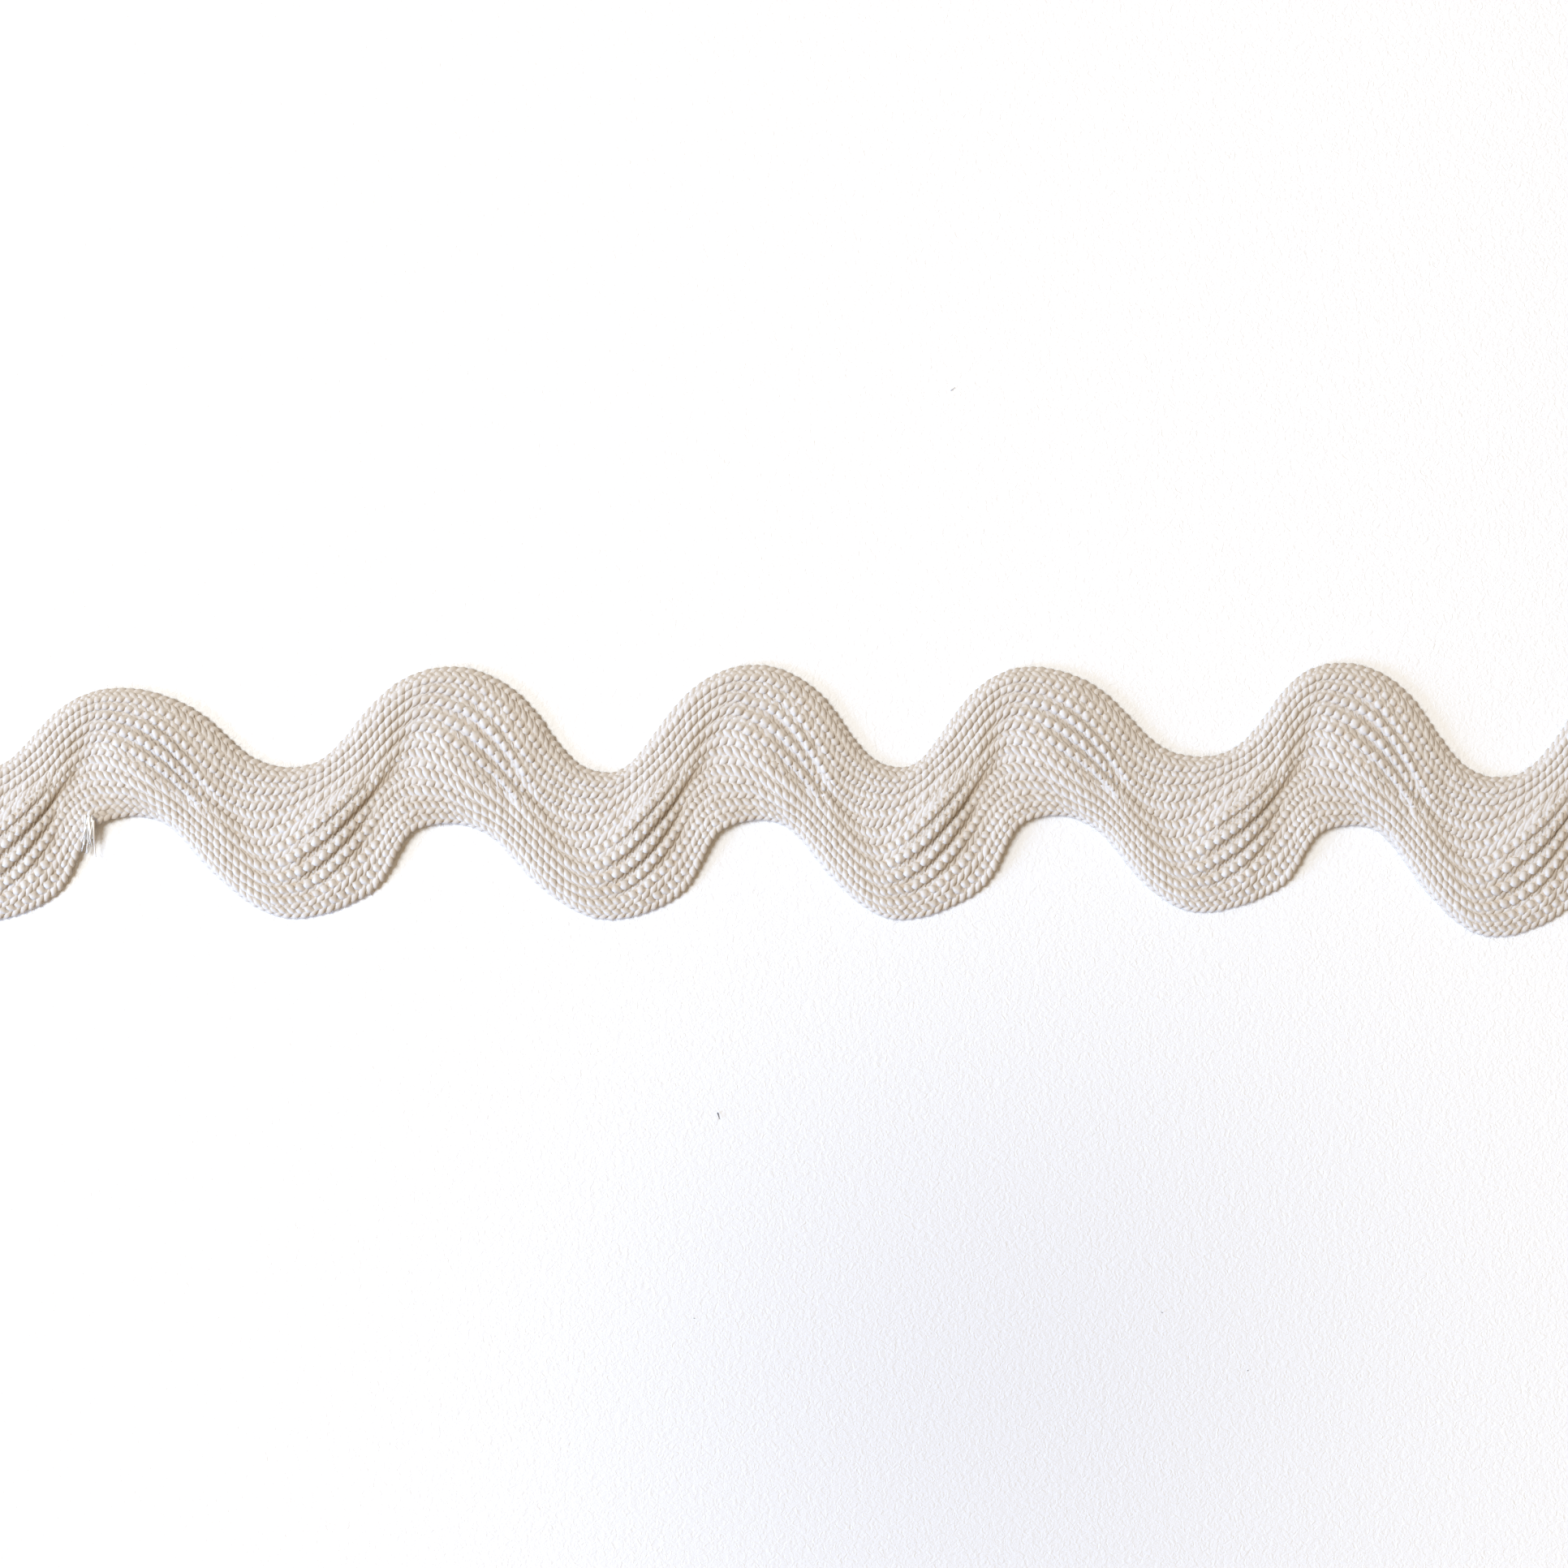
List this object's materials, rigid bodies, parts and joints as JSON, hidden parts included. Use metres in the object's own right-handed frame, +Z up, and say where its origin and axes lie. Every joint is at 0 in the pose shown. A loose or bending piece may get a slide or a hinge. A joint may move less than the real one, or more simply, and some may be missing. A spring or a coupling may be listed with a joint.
{
  "type": "ric rac trim",
  "caption": "Cut length of wide zigzag braid trim in cream cotton, lying flat, for sewing onto cloth or along a hem.",
  "frame": {"origin": "on the surface the strip lies on, under the middle of its box", "axes": "+X along the strip, +Y across it in the surface, +Z up, away from the surface"},
  "size_m": [0.2736, 0.041, 0.0027],
  "materials": {
    "cream_cotton_braid": "dry, matt natural cotton yarn"
  },
  "bodies": {
    "root": {"ric_rac_strip": "cream_cotton_braid"}
  },
  "joints": []
}
